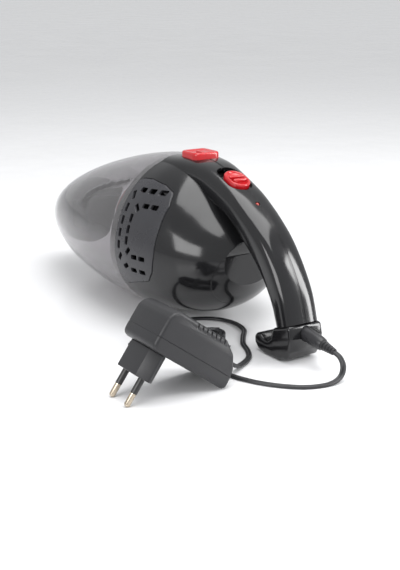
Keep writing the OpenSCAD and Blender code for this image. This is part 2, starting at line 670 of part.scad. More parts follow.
// ---- foot and charging jack
END = SPINE[len(SPINE) - 1];
end_pts = curve(SPINE, 2);
end_slope = spine_slope(end_pts, len(end_pts) - 1);
end_depth = END[3] * handle_d;
end_z = END[1] * body_h;
FOOT = [[grip_end_x, end_z], [grip_x, 18], [grip_x - 1, 9], [grip_x - 5.5, 2.6], [grip_x - 13, 0],
        [grip_x - 29, 0], [grip_x - 36, 1.6], [grip_x - 40, 5.5], [grip_x - 40.4, 10], [grip_x - 38, 13],
        [grip_x - 34, 12.8], [grip_x - 30.5, 10.6], [grip_x - 25.5, 10.6], [grip_x - 22, 13.5],
        [grip_end_x - end_depth * sin(end_slope), end_z - end_depth * cos(end_slope)]];
module handle_foot() {
    color([0.09, 0.09, 0.1]) difference() {
        translate([0, foot_w / 2, 0]) rotate([90, 0, 0]) linear_extrude(foot_w) polygon(FOOT);
        at_plug() {
            translate([0, 0, -0.2]) cylinder(20, plug_d / 2 + slip, plug_d / 2 + slip);
            translate([0, 0, -jack_len - 6]) cylinder(jack_len + 7, jack_d / 2 + seat, jack_d / 2 + seat);
        }
    }
}
module dc_jack() {
    color([0.1, 0.1, 0.1]) at_plug() translate([0, 0, -jack_len - 0.2]) difference() {
        cylinder(jack_len, jack_d / 2, jack_d / 2);
        translate([0, 0, jack_len - barrel_len - 1])
            cylinder(barrel_len + 2, barrel_d / 2 + 0.08, barrel_d / 2 + 0.08);
    }
}

// ---- charger: plug, lead, hank and mains adapter
relief_len = 11;
module dc_plug() {
    color([0.07, 0.07, 0.07]) at_plug() {
        cylinder(plug_len, plug_d / 2, plug_d / 2);
        translate([0, 0, plug_len]) cylinder(2, plug_d / 2, plug_d / 2 - 1);
    }
}
module dc_barrel() {
    color([0.8, 0.8, 0.82]) at_plug() translate([0, 0, -barrel_len]) difference() {
        cylinder(barrel_len, barrel_d / 2, barrel_d / 2);
        translate([0, 0, -1]) cylinder(barrel_len - 1, 1.2, 1.2, $fn = 24);
    }
}
module plug_relief() {
    color([0.07, 0.07, 0.07]) at_plug() translate([0, 0, plug_len + 2])
        cylinder(relief_len, 3.4, lead_w / 2 + 0.3);
}
plug_end_x = plug_x + (plug_len + 2 + relief_len) * cos(plug_tilt);
plug_end_z = plug_z - (plug_len + 2 + relief_len) * sin(plug_tilt);
lie_z = lead_t / 2;
// Route of the lead from the plug to the hank
ROUTE_A = [[plug_end_x, 0, plug_end_z], [plug_end_x + 5, 0.5, plug_end_z - 2], [plug_end_x + 9, 0, 9.5],
           [plug_end_x + 11, -3, 4.5], [plug_end_x + 12, -9, 1.8], [plug_end_x + 11.5, -18, lie_z],
           [plug_end_x + 7, -30, lie_z], [plug_end_x - 3, -41, lie_z], [plug_end_x - 16, -50, lie_z],
           [plug_end_x - 31, -56, lie_z], [152, -58, lie_z], [139, -53, lie_z], [130, -44, lie_z], [122, -33, 2.6]];
hank_x = 103;
hank_y = -57;
hank_turn = 57;                          // its direction in plan
hank_len = 64;
hank_w = 24;
hank_h = 13;
// ---- adapter frame: the case leans on its two pins and its far lower edge
pin_d = 4;
pin_len = 19;
pin_pitch = 18.6;
column_len = 18;
column_back = 11;                        // from the case's front end to the pins' line
edge_r = 2;
far = case_len - column_back;
pin_reach = column_len + pin_len - pin_d / 2;
lean = atan2(pin_reach + edge_r, far - edge_r)
    + asin((pin_d / 2 - edge_r) / norm([pin_reach + edge_r, far - edge_r]));
case_x = 162;
case_y = -115;
case_z = pin_reach * cos(lean) + pin_d / 2;
module at_case() { translate([case_x, case_y, case_z]) rotate([-lean, 0, 0]) children(); }
// The lead's way out of the adapter, in the case's own frame
out_y = far - 5;
out_z = 0.62 * case_t;
out_len = 12;
function case_point(y, z) = [case_x, case_y + y * cos(lean) + z * sin(lean), case_z - y * sin(lean) + z * cos(lean)];
out_end = case_point(out_y + out_len, out_z);
ROUTE_B = [out_end, out_end + [-1, 5, -3.4], out_end + [-4, 10, -6.4], [151, -35, 1.8], [143, -26.5, lie_z],
           [133, -20.5, lie_z], [121, -15.5, lie_z], [109, -7, lie_z], [97, 2, lie_z], [81, 5, lie_z], [66, 0, lie_z],
           [57, -12, lie_z], [55, -27, lie_z], [58, -43, lie_z], [64, -59, lie_z], [72, -73, lie_z], [84, -81, 2.6]];
// A flat lead swept along a route, its width level
module lead(route) {
    pts = curve(route, 2);
    n = len(pts);
    function along(i) = row(pts, i + 1) - row(pts, i - 1);
    ring = [for (i = [0 : n - 1]) let (d = along(i) / norm(along(i)), u = cross([0, 0, 1], d), s = u / norm(u), w = cross(d, s))
        for (k = [0 : 7]) pts[i] + s * (lead_w / 2 * cos(45 * k)) + w * (lead_t / 2 * sin(45 * k))];
    faces = concat([[for (k = [0 : 7]) k]], [[for (k = [7 : -1 : 0]) (n - 1) * 8 + k]],
        [for (i = [0 : n - 2], k = [0 : 7]) each [[i * 8 + k, (i + 1) * 8 + k, (i + 1) * 8 + (k + 1) % 8],
            [i * 8 + k, (i + 1) * 8 + (k + 1) % 8, i * 8 + (k + 1) % 8]]]);
    polyhedron(ring, faces);
}
module charger_cord() { color([0.06, 0.06, 0.06]) lead(ROUTE_A); }
module charger_cord_end() { color([0.06, 0.06, 0.06]) lead(ROUTE_B); }
module cord_hank() {
    color([0.06, 0.06, 0.06]) translate([hank_x, hank_y, 0]) rotate([0, 0, hank_turn]) linear_extrude(hank_h)
        hull() for (s = [-1, 1]) translate([s * (hank_len - hank_w) / 2, 0]) circle(hank_w / 2, $fn = 32);
}
module cord_tie() {
    color([0.15, 0.15, 0.15]) translate([hank_x, hank_y, 0]) rotate([0, 0, hank_turn]) difference() {
        translate([-3, -hank_w / 2 - 1, 0]) cube([6, hank_w + 2, hank_h + 1]);
        translate([-4, -hank_w / 2, -1]) cube([8, hank_w, hank_h + 1]);
    }
}
// Outline of the case seen from its side, [along, up from the plug face]
module case_outline(inset) {
    offset(r = edge_r, $fn = 24) offset(delta = -edge_r - inset)
        polygon([[-column_back, 0], [-column_back, case_t - 7], [-column_back + 2, case_t - 3],
                 [-column_back + 6, case_t], [far - 17, case_t], [far - 7, case_t - 6],
                 [far - 1.5, case_t - 14], [far, case_t - 20], [far, 0]]);
}
case_split = 9;
case_wall = 2;
module case_solid(inset) {
    rotate([90, 0, 90]) linear_extrude(case_w - 2 * inset, center = true) case_outline(inset);
}
module adapter_base() {
    color([0.13, 0.13, 0.14]) at_case() difference() {
        case_solid(0);
        case_solid(case_wall);
        translate([-case_w, -case_len, case_split]) cube([2 * case_w, 3 * case_len, case_t]);
    }
}
module adapter_cover() {
    color([0.15, 0.15, 0.16]) at_case() difference() {
        case_solid(0);
        case_solid(case_wall);
        translate([-case_w, -case_len, case_split - case_t]) cube([2 * case_w, 3 * case_len, case_t]);
        for (s = [-1, 1], k = [0 : 7]) translate([s * case_w / 2, 12 + 3.5 * k, case_t])
            rotate([0, 45, 0]) cube([3.2, 1.2, 16], center = true);
        translate([0, out_y - 11, out_z]) rotate([-90, 0, 0]) cylinder(30, 3.2 + seat, 3.2 + seat);
    }
}
module pin_column() {
    color([0.12, 0.12, 0.13]) at_case() translate([0, 0, -column_len]) linear_extrude(column_len)
        polygon([[-17.65, 0], [-10.8, -6.85], [10.8, -6.85], [17.65, 0], [10.8, 6.85], [-10.8, 6.85]]);
}
module mains_pins() {
    color([0.78, 0.78, 0.76]) at_case() for (s = [-1, 1]) translate([s * pin_pitch / 2, 0, -column_len - pin_len + pin_d / 2]) {
        cylinder(pin_len - pin_d / 2, pin_d / 2, pin_d / 2);
        sphere(pin_d / 2);
    }
}
module pin_sleeves() {
    color([0.1, 0.1, 0.1]) at_case() for (s = [-1, 1]) translate([s * pin_pitch / 2, 0, -column_len - 10]) difference() {
        cylinder(10, pin_d / 2 + 0.15, pin_d / 2 + 0.15);
        translate([0, 0, -1]) cylinder(12, pin_d / 2, pin_d / 2);
    }
}
module transformer() {
    color([0.5, 0.35, 0.2]) at_case() translate([-13, -4, case_wall]) cube([26, 32, 17]);
}
module adapter_relief() {
    color([0.07, 0.07, 0.07]) at_case() translate([0, out_y, out_z]) rotate([-90, 0, 0]) {
        translate([0, 0, -10.5]) cylinder(2.5, 4.6, 4.6);
        translate([0, 0, -8.5]) cylinder(10.5, 3.2, 3.2);
        cylinder(out_len, 3.1, lead_w / 2 + 0.3);
    }
}

left_housing();
right_housing();
vent_panel_left();
vent_panel_right();
rear_cover();
front_frame();
bowl_seal();
dust_bowl();
inlet_duct();
inlet_flap();
filter_frame();
filter_cartridge();
release_button();
release_latch();
latch_pin();
release_spring();
fan_housing();
impeller();
motor_shaft();
motor();
motor_mount();
battery_cells();
battery_tray();
switch_slider();
slide_switch();
circuit_board();
charge_led();
housing_screws();
handle_foot();
dc_jack();
dc_plug();
dc_barrel();
plug_relief();
charger_cord();
charger_cord_end();
cord_hank();
cord_tie();
adapter_base();
adapter_cover();
pin_column();
mains_pins();
pin_sleeves();
transformer();
adapter_relief();
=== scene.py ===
"""Looks of the handheld vacuum and its plug-in charger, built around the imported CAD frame."""
import json
import math

import bpy
from mathutils import Matrix, Vector

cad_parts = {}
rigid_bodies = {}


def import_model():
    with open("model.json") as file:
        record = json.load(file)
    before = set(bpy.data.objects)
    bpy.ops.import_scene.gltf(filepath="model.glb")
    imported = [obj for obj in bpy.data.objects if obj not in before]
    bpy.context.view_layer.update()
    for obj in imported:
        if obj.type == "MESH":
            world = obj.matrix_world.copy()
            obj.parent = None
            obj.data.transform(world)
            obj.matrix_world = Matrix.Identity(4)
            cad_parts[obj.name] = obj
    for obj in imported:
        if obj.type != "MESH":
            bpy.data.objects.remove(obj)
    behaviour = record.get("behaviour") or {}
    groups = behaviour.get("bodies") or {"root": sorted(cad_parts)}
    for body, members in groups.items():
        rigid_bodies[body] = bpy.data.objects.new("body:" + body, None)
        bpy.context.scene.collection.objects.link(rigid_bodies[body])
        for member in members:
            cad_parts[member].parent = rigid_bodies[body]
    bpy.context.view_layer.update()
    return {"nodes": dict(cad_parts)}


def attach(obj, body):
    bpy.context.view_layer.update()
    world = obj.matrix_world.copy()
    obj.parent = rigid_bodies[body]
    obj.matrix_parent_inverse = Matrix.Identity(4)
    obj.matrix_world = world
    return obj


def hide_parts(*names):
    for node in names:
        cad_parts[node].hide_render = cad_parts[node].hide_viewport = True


for start_object in list(bpy.data.objects):
    bpy.data.objects.remove(start_object)
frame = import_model()

# ---------------------------------------------------------------- sizes, in millimetres, as the CAD has them
MM = 0.001
HALF_W = 62.0
BODY_H = 120.0
JOINT_X = 22.0
BOWL_LEN = 193.5
NOSE_X = JOINT_X - BOWL_LEN
BELLY_LEN = 84.0
REAR_X = JOINT_X + BELLY_LEN
WALL = 2.4
BOWL_WALL = 2.2
HANDLE_W = 30.0
HANDLE_D = 22.0
HANDLE_REACH = 149.5
GRIP_X = JOINT_X + HANDLE_REACH
SEAT = 0.15
EGG_SIDES = 144
SPINE_SIDES = 88

BOWL = [[0, .22, .49, .31], [.085, .44, .585, .215], [.265, .70, .72, .105], [.47, .875, .835, .035],
        [.68, .97, .925, .003], [.86, 1, .98, -.002], [1, 1, 1, .008]]
BELLY = [[0, 1, 1, .008], [.21, .985, .985, .025], [.45, .92, .925, .055], [.63, .82, .835, .092],
         [.77, .71, .745, .142], [.90, .55, .665, .217], [1, .35, .59, .317]]
SPINE = [[.004, 1.001, .78, .9], [.13, 1.006, .70, .92], [.27, .99, .61, .95], [.39, .945, .57, .97],
         [.53, .875, .54, .97], [.62, .812, .53, 1], [.70, .745, .52, 1.06], [.79, .65, .51, 1.05],
         [.875, .52, .50, .98], [.943, .375, .50, .9], [.985, .225, .49, .86]]
PANEL = [[1, .88], [14, .885], [28, .865], [38, .83], [42.5, .76], [44, .64], [44, .47], [42, .38],
         [36, .31], [20, .275], [5, .24], [1, .27]]
BUTTON_X = JOINT_X + 20
BUTTON_SIZE = 22.0
SPINE_TOP = 1.005 * BODY_H
BUTTON_PROUD = 4.0
SLIDER_X = JOINT_X + .43 * HANDLE_REACH
SLIDER_Z = .926 * BODY_H
SLIDER_TILT = 20.5
SLIDER_LEN = 21.0
SLIDER_TRAVEL = 7.0
WELL_DEPTH = 2.6
LED_X = JOINT_X + .615 * HANDLE_REACH
LED_Z = .812 * BODY_H
LED_TILT = 31.0
PLUG_TILT = 8.0
PLUG_X = GRIP_X - 5
PLUG_Z = 20.5
PLUG_LEN = 20.0
RELIEF_LEN = 11.0
LEAD_W = 4.0
LEAD_T = 2.2
CASE_W = 38.0
CASE_LEN = 64.0
CASE_T = 28.0
COLUMN_LEN = 18.0
COLUMN_BACK = 11.0
PIN_D = 4.0
PIN_LEN = 19.0
PIN_PITCH = 18.6
CASE_X = 162.0
CASE_Y = -115.0
HANK = (103.0, -57.0)
HANK_TURN = 57.0


# ---------------------------------------------------------------- small geometry helpers
def catmull(rows, i, t):
    """Point at share t between rows i and i + 1 of a smooth curve through the rows."""
    last = len(rows) - 1
    a, b, c, d = (rows[max(0, min(last, i + k))] for k in (-1, 0, 1, 2))
    return [0.5 * (2 * q + (r - p) * t + (2 * p - 5 * q + 4 * r - s) * t * t
                   + (3 * q - p - 3 * r + s) * t * t * t) for p, q, r, s in zip(a, b, c, d)]


def smooth_rows(rows, steps):
    """The rows with steps samples between each pair."""
    made = [catmull(rows, i, k / steps) for i in range(len(rows) - 1) for k in range(steps)]
    made.append(list(rows[-1]))
    return made


def new_object(name, verts, faces):
    """A smooth mesh object from points in millimetres."""
    mesh = bpy.data.meshes.new(name)
    mesh.from_pydata([(x * MM, y * MM, z * MM) for x, y, z in verts], [], faces)
    mesh.validate()
    mesh.update()
    obj = bpy.data.objects.new(name, mesh)
    bpy.context.scene.collection.objects.link(obj)
    mesh.shade_smooth()
    return obj


def loft(name, rings):
    """A skin through rings of equal length, with flat ends."""
    count = len(rings[0])
    verts = [p for ring in rings for p in ring]
    faces = []
    for i in range(len(rings) - 1):
        for k in range(count):
            a = i * count + k
            b = i * count + (k + 1) % count
            faces.append((a, b, b + count, a + count))
    faces.append(tuple(range(count))[::-1])
    base = (len(rings) - 1) * count
    faces.append(tuple(range(base, base + count)))
    obj = new_object(name, verts, faces)
    turn_outward(obj)
    return obj


def turn_outward(obj):
    """Makes a closed skin's faces look outward."""
    mesh = obj.data
    volume = 0.0
    for p in mesh.polygons:
        points = [mesh.vertices[v].co for v in p.vertices]
        for k in range(1, len(points) - 1):
            volume += points[0].dot(points[k].cross(points[k + 1]))
    if volume < 0:
        mesh.flip_normals()


def prism(name, outline, axis, low, high):
    """An outline pulled along x, y or z."""
    place = {"x": lambda p, h: (h, p[0], p[1]), "y": lambda p, h: (p[0], h, p[1]),
             "z": lambda p, h: (p[0], p[1], h)}[axis]
    return loft(name, [[place(p, h) for p in outline] for h in (low, high)])


def block(name, low, high):
    """A box between two corners, for cutting."""
    outline = [(low[0], low[1]), (high[0], low[1]), (high[0], high[1]), (low[0], high[1])]
    return prism(name, outline, "z", low[2], high[2])


def baked(obj, modifier):
    """Applies one modifier to the object's mesh."""
    bpy.context.view_layer.update()
    old = obj.data
    graph = bpy.context.evaluated_depsgraph_get()
    obj.data = bpy.data.meshes.new_from_object(obj.evaluated_get(graph))
    obj.modifiers.remove(modifier)
    obj.data.name = old.name
    bpy.data.meshes.remove(old)
    return obj


def combine(obj, tool, operation, keep_tool=False):
    """obj cut by, joined with or limited to tool."""
    modifier = obj.modifiers.new("combine", "BOOLEAN")
    modifier.operation = operation
    modifier.object = tool
    modifier.solver = "MANIFOLD"
    baked(obj, modifier)
    if not keep_tool:
        bpy.data.objects.remove(tool)
    return obj


def cut(obj, tool, keep_tool=False):
    return combine(obj, tool, "DIFFERENCE", keep_tool)


def unite(obj, tool, keep_tool=False):
    return combine(obj, tool, "UNION", keep_tool)


def meet(obj, tool, keep_tool=False):
    return combine(obj, tool, "INTERSECT", keep_tool)


def copy_of(obj, name):
    twin = bpy.data.objects.new(name, obj.data.copy())
    bpy.context.scene.collection.objects.link(twin)
    return twin


def soften(obj, width, segments=3, angle=35):
    """Rounds the sharp edges."""
    modifier = obj.modifiers.new("soften", "BEVEL")
    modifier.width = width * MM
    modifier.segments = segments
    modifier.limit_method = "ANGLE"
    modifier.angle_limit = math.radians(angle)
    return baked(obj, modifier)


def shade(obj, angle=32):
    """Smooth shading that keeps edges sharper than the angle."""
    obj.data.shade_smooth()
    obj.data.set_sharp_from_angle(angle=math.radians(angle))
    return obj


def moved(obj, matrix):
    obj.data.transform(matrix)
    obj.data.update()
    return obj


def placed(x, y, z, tilt):
    """Frame at a point in mm, turned by tilt degrees about Y."""
    return Matrix.Translation((x * MM, y * MM, z * MM)) @ Matrix.Rotation(math.radians(tilt), 4, "Y")


def rounded(points, radius, steps=5):
    """The outline with each corner turned into an arc."""
    made = []
    count = len(points)
    for i in range(count):
        p = Vector(points[i])
        a = (Vector(points[i - 1]) - p)
        b = (Vector(points[(i + 1) % count]) - p)
        half = a.angle(b) / 2
        reach = min(radius / math.tan(half), 0.48 * a.length, 0.48 * b.length)
        start = p + a.normalized() * reach
        end = p + b.normalized() * reach
        for k in range(steps + 1):
            t = k / steps
            made.append(tuple((1 - t) ** 2 * start + 2 * t * (1 - t) * p + t * t * end))
    return made


def round_rect(hx, hy, r, steps=8):
    """Corners of a rounded rectangle, counterclockwise."""
    made = []
    for cx, cy, start in ((1, 1, 0), (-1, 1, 90), (-1, -1, 180), (1, -1, 270)):
        for k in range(steps + 1):
            a = math.radians(start + 90 * k / steps)
            made.append((cx * (hx - r) + r * math.cos(a), cy * (hy - r) + r * math.sin(a)))
    return made


def plate(name, hx, hy, r, profile, steps=8):
    """A rounded plate, stacked from (inset, height) rings."""
    rings = []
    for inset, height in profile:
        ring = round_rect(hx - inset, hy - inset, max(r - inset, 0.15), steps)
        rings.append([(x, y, height) for x, y in ring])
    return loft(name, rings)


def turned(name, profile, count=64):
    """A body of revolution about z from (radius, height) points."""
    rings = []
    for radius, height in profile:
        rings.append([(radius * math.cos(2 * math.pi * k / count), radius * math.sin(2 * math.pi * k / count),
                       height) for k in range(count)])
    return loft(name, rings)


# ---------------------------------------------------------------- body shapes
def egg(hw, top, bottom, grow):
    mid = min(0.45 * BODY_H, (top + bottom) * 0.51)
    ring = []
    for k in range(EGG_SIDES):
        a = 2 * math.pi * (k + 0.5) / EGG_SIDES
        rise = top - mid + grow if math.sin(a) > 0 else mid - bottom + grow
        ring.append(((hw + grow) * math.cos(a), mid + rise * math.sin(a)))
    return ring


def body_loft(name, rows, x0, length, grow, front_trim=0.0, rear_trim=0.0, steps=9):
    samples = smooth_rows(rows, steps)
    x1 = x0 + length
    rings = []
    last_x = None
    for i, row in enumerate(samples):
        x = x0 + row[0] * length
        x = max(x0 + front_trim, min(x1 - rear_trim, x))
        if i == 0:
            x = x0 + front_trim
        if i == len(samples) - 1:
            x = x1 - rear_trim
        if last_x is not None and x - last_x < 0.02:
            continue
        last_x = x
        ring = egg(row[1] * HALF_W, row[2] * BODY_H, row[3] * BODY_H, grow)
        rings.append([(x, y, z) for y, z in ring])
    return loft(name, rings)


def belly(name, grow, front_trim=0.0, rear_trim=0.0):
    return body_loft(name, BELLY, JOINT_X, BELLY_LEN, grow, front_trim, rear_trim)


def spine_frames(steps):
    samples = smooth_rows(SPINE, steps)
    made = []
    for i, row in enumerate(samples):
        a = samples[max(0, i - 1)]
        b = samples[min(len(samples) - 1, i + 1)]
        slope = math.atan2((a[1] - b[1]) * BODY_H, (b[0] - a[0]) * HANDLE_REACH)
        x = JOINT_X + row[0] * HANDLE_REACH
        made.append((x, row[1] * BODY_H, slope, row[2] * HANDLE_W, row[3] * HANDLE_D))
    return made


def signed_power(value, power):
    return math.copysign(abs(value) ** power, value)


def on_section(x, z, slope, across, up):
    """A point of a section that stands square to the spine's back line."""
    return (x + up * math.sin(slope), across, z + up * math.cos(slope))


def spine_loft(name, grow, steps=9):
    rings = []
    for x, z, slope, hw, depth in spine_frames(steps):
        ring = []
        for k in range(SPINE_SIDES):
            a = 2 * math.pi * (k + 0.5) / SPINE_SIDES
            up = -depth / 2 + (depth / 2 + grow) * signed_power(math.sin(a), 0.72)
            narrow = 0.6 - 0.6 * math.sin(a)
            across = (hw + grow - narrow) * signed_power(math.cos(a), 0.66)
            ring.append(on_section(x, z, slope, across, up))
        rings.append(ring)
    return loft(name, rings)


def seam_groove(name, half_width, depth):
    """A shallow channel along the back of the spine and grip."""
    rings = []
    for x, z, slope, hw, d in spine_frames(9):
        rings.append([on_section(x, z, slope, half_width, -depth), on_section(x, z, slope, half_width, 3),
                      on_section(x, z, slope, -half_width, 3), on_section(x, z, slope, -half_width, -depth)])
    return loft(name, rings)


def rear_block(name, shift=0.0):
    """Everything behind the leaning plane of the rear cover."""
    obj = block(name, (0, 0, -30), (60, 2 * HALF_W, BODY_H - 30))
    matrix = Matrix.Translation(((REAR_X - 17 + shift) * MM, -HALF_W * MM, 0.1 * BODY_H * MM))
    return moved(obj, matrix @ Matrix.Rotation(math.radians(19), 4, "Y"))


def panel_outline(inset):
    """Outline of the vent panel seen from the side, drawn in by inset."""
    points = rounded([(JOINT_X + x, z * BODY_H) for x, z in PANEL], 5, 4)
    if not inset:
        return points
    middle = Vector((sum(p[0] for p in points) / len(points), sum(p[1] for p in points) / len(points)))
    made = []
    for i, p in enumerate(points):
        along = Vector(points[(i + 1) % len(points)]) - Vector(points[i - 1])
        normal = Vector((along.y, -along.x)).normalized()
        if normal.dot(Vector(p) - middle) < 0:
            normal = -normal
        made.append(tuple(Vector(p) - normal * inset))
    return made


def side_prism(name, side, inset, inner=8.0):
    low, high = (inner, HALF_W + 6) if side > 0 else (-HALF_W - 6, -inner)
    return prism(name, panel_outline(inset), "y", low, high)


def c_place(d, front, top, low, r1, r2, end):
    """Place and turn of a point at distance d along a C of straight runs and two corners."""
    first = end - front - r1
    q1 = r1 * math.pi / 2
    b = top - low - r1 - r2
    q2 = r2 * math.pi / 2
    if d < first:
        return end - d, top, 0
    if d < first + q1:
        g = (d - first) / r1
        return front + r1 - r1 * math.sin(g), top - r1 + r1 * math.cos(g), math.degrees(g)
    if d < first + q1 + b:
        return front, top - r1 - (d - first - q1), 90
    if d < first + q1 + b + q2:
        g = (d - first - q1 - b) / r2
        return front + r2 - r2 * math.cos(g), low + r2 - r2 * math.sin(g), 90 + math.degrees(g)
    return front + r2 + (d - first - q1 - b - q2), low, 180


SLOT_LEN = 6.2
SLOT_W = 3.4


def cut_slots(panel, side, n, front, top, low, r1, r2, end):
    """Cut n slots along a C-shaped path through a vent panel."""
    total = 2 * (end - front) - r1 - r2 + (top - low - r1 - r2) + math.pi / 2 * (r1 + r2)
    for i in range(n):
        x, z, turn = c_place(total * i / (n - 1), front, top, low, r1, r2, end)
        tool = plate("slot", SLOT_LEN / 2, SLOT_W / 2, 0.8, [(0, 8), (0, HALF_W + 8)], 4)
        stand = Matrix.Rotation(math.radians(-90 * side), 4, "X")
        place = Matrix.Translation(((JOINT_X + x) * MM, 0, z * MM))
        cut(panel, moved(tool, place @ Matrix.Rotation(math.radians(turn), 4, "Y") @ stand))


# ---------------------------------------------------------------- cord route, as the CAD has it
def plug_point(along, up=0.0):
    """Point on the charging plug's axis, in the shared frame."""
    t = math.radians(PLUG_TILT)
    x = PLUG_X + along * math.cos(t) + up * math.sin(t)
    return (x, 0.0, PLUG_Z - along * math.sin(t) + up * math.cos(t))


FAR = CASE_LEN - COLUMN_BACK
EDGE_R = 2.0
REACH = COLUMN_LEN + PIN_LEN - PIN_D / 2
REST_SPAN = math.hypot(REACH + EDGE_R, FAR - EDGE_R)
LEAN = math.atan2(REACH + EDGE_R, FAR - EDGE_R) + math.asin((PIN_D / 2 - EDGE_R) / REST_SPAN)
CASE_Z = REACH * math.cos(LEAN) + PIN_D / 2
OUT_Y = FAR - 5
OUT_Z = 0.62 * CASE_T
OUT_LEN = 12.0
CASE_FRAME = Matrix.Translation((CASE_X * MM, CASE_Y * MM, CASE_Z * MM)) @ Matrix.Rotation(-LEAN, 4, "X")


def case_point(y, z):
    """Point of the leaning charger case, in the shared frame."""
    turned_y = y * math.cos(LEAN) + z * math.sin(LEAN)
    return (CASE_X, CASE_Y + turned_y, CASE_Z - y * math.sin(LEAN) + z * math.cos(LEAN))


def hank_turns():
    """Racetrack turns of the folded lead: three beside each other in each of three layers."""
    direction = Vector((math.cos(math.radians(HANK_TURN)), math.sin(math.radians(HANK_TURN)), 0))
    side = Vector((-direction.y, direction.x, 0))
    centre = Vector((HANK[0], HANK[1], 0))
    points = []
    radii = [10.4, 8.0, 5.6]
    turn = 0
    for layer in range(3):
        order = radii if layer % 2 == 0 else radii[::-1]
        for r in order:
            half = 31.0 - 10.4
            lap = []
            for k in range(20):
                t = k / 20
                if t < 0.5:
                    a = math.pi * (t / 0.5) - math.pi / 2
                    lap.append((half + r * math.cos(a), r * math.sin(a)))
                else:
                    a = math.pi * ((t - 0.5) / 0.5) + math.pi / 2
                    lap.append((-half + r * math.cos(a), r * math.sin(a)))
            for u, v in lap:
                p = centre + direction * u + side * v
                points.append((p.x, p.y, 2.1 + 4.15 * layer))
            turn += 1
            if turn == 8:
                return points
    return points


PLUG_END = plug_point(PLUG_LEN + 2 + RELIEF_LEN)
FLAT = LEAD_T / 2
ROUTE_PLUG = [PLUG_END, (PLUG_END[0] + 5, .5, PLUG_END[2] - 2), (PLUG_END[0] + 9, 0, 9.5),
              (PLUG_END[0] + 11, -3, 4.5), (PLUG_END[0] + 12, -9, 1.8), (PLUG_END[0] + 11.5, -18, FLAT),
              (PLUG_END[0] + 7, -30, FLAT), (PLUG_END[0] - 3, -41, FLAT), (PLUG_END[0] - 16, -50, FLAT),
              (PLUG_END[0] - 31, -56, FLAT), (152, -58, FLAT), (139, -53, FLAT), (130, -44, FLAT),
              (122, -33, 2.6)]
OUT_END = case_point(OUT_Y + OUT_LEN, OUT_Z)
ROUTE_CASE = [OUT_END, (OUT_END[0] - 1, OUT_END[1] + 5, OUT_END[2] - 3.4),
              (OUT_END[0] - 4, OUT_END[1] + 10, OUT_END[2] - 6.4), (151, -35, 1.8), (143, -26.5, FLAT),
              (133, -20.5, FLAT), (121, -15.5, FLAT), (109, -7, FLAT), (97, 2, FLAT), (81, 5, FLAT),
              (66, 0, FLAT), (57, -12, FLAT), (55, -27, FLAT), (58, -43, FLAT), (64, -59, FLAT),
              (72, -73, FLAT), (84, -81, 2.6)]


def lead_path():
    """Centreline of the whole lead, adapter to hank to plug, with how far it stands on edge."""
    first = [(p, 0.0) for p in smooth_rows(ROUTE_CASE, 4)]
    wound = [(p, 1.0) for p in hank_turns()]
    last = [(p, 0.0) for p in smooth_rows(ROUTE_PLUG, 4)[::-1]]
    return first, wound, last


def lead_mesh(name, points, on_edge):
    """A flat twin lead: two cores side by side, swept along the points."""
    section = []
    for centre in (-1, 1):
        for k in range(10):
            a = math.radians(-150 + 300 * k / 9) if centre > 0 else math.radians(30 + 300 * k / 9)
            across = centre * (LEAD_W / 2 - LEAD_T / 2) + LEAD_T / 2 * math.cos(a)
            section.append((across, LEAD_T / 2 * math.sin(a)))
    vectors = [Vector(p) for p in points]
    rings = []
    up = Vector((0, 0, 1))
    last_side = None
    for i, p in enumerate(vectors):
        along = (vectors[min(len(vectors) - 1, i + 1)] - vectors[max(0, i - 1)]).normalized()
        level = up.cross(along).normalized()
        upright = along.cross(level).normalized()
        side = (level * (1 - on_edge[i]) + upright * on_edge[i]).normalized()
        if last_side is not None and side.dot(last_side) < 0:
            side = -side
        last_side = side
        normal = along.cross(side).normalized()
        rings.append([tuple(p + side * u + normal * v) for u, v in section])
    return loft(name, rings)


# ---------------------------------------------------------------- camera, light and floor
CAMERA_PLACE = (0.6558, -0.3988, 0.2385)
CAMERA_HEADING = (-0.8387, 0.5446)
CAMERA_PITCH = 16.5
LENS = 63.16
SENSOR_W = 36.0


def make_camera():
    """The camera that the scene is seen from."""
    data = bpy.data.cameras.new("camera")
    data.lens = LENS
    data.sensor_width = SENSOR_W
    data.clip_start = 0.01
    camera = bpy.data.objects.new("camera", data)
    bpy.context.scene.collection.objects.link(camera)
    camera.location = CAMERA_PLACE
    pitch = math.radians(CAMERA_PITCH)
    ahead = [c * math.cos(pitch) for c in CAMERA_HEADING]
    forward = Vector((*ahead, -math.sin(pitch)))
    camera.rotation_euler = forward.to_track_quat("-Z", "Y").to_euler()
    bpy.context.scene.camera = camera


def area_light(name, place, target, size, power):
    """A rectangular lamp aimed at a point, in metres and watts."""
    data = bpy.data.lights.new(name, "AREA")
    data.shape = "RECTANGLE"
    data.size = size[0]
    data.size_y = size[1]
    data.energy = power
    lamp = bpy.data.objects.new(name, data)
    bpy.context.scene.collection.objects.link(lamp)
    lamp.location = place
    lamp.rotation_euler = (Vector(target) - Vector(place)).to_track_quat("-Z", "Y").to_euler()


def make_studio():
    """World light, three soft lamps and the view transform."""
    world = bpy.data.worlds.new("studio")
    bpy.context.scene.world = world
    world.use_nodes = True
    background = world.node_tree.nodes["Background"]
    background.inputs["Color"].default_value = (0.93, 0.94, 0.95, 1)
    background.inputs["Strength"].default_value = 0.75
    area_light("top_softbox", (0.15, 0.1, 1.3), (0.0, 0.0, 0.0), (1.2, 0.9), 16)
    area_light("side_softbox", (0.5, -1.1, 0.55), (0.05, 0, 0.06), (0.7, 0.5), 7)
    area_light("rear_strip", (0.75, 0.75, 0.45), (0.15, 0, 0.05), (0.25, 0.8), 9)
    bpy.context.scene.view_settings.view_transform = "Standard"


FLOOR = 60000.0


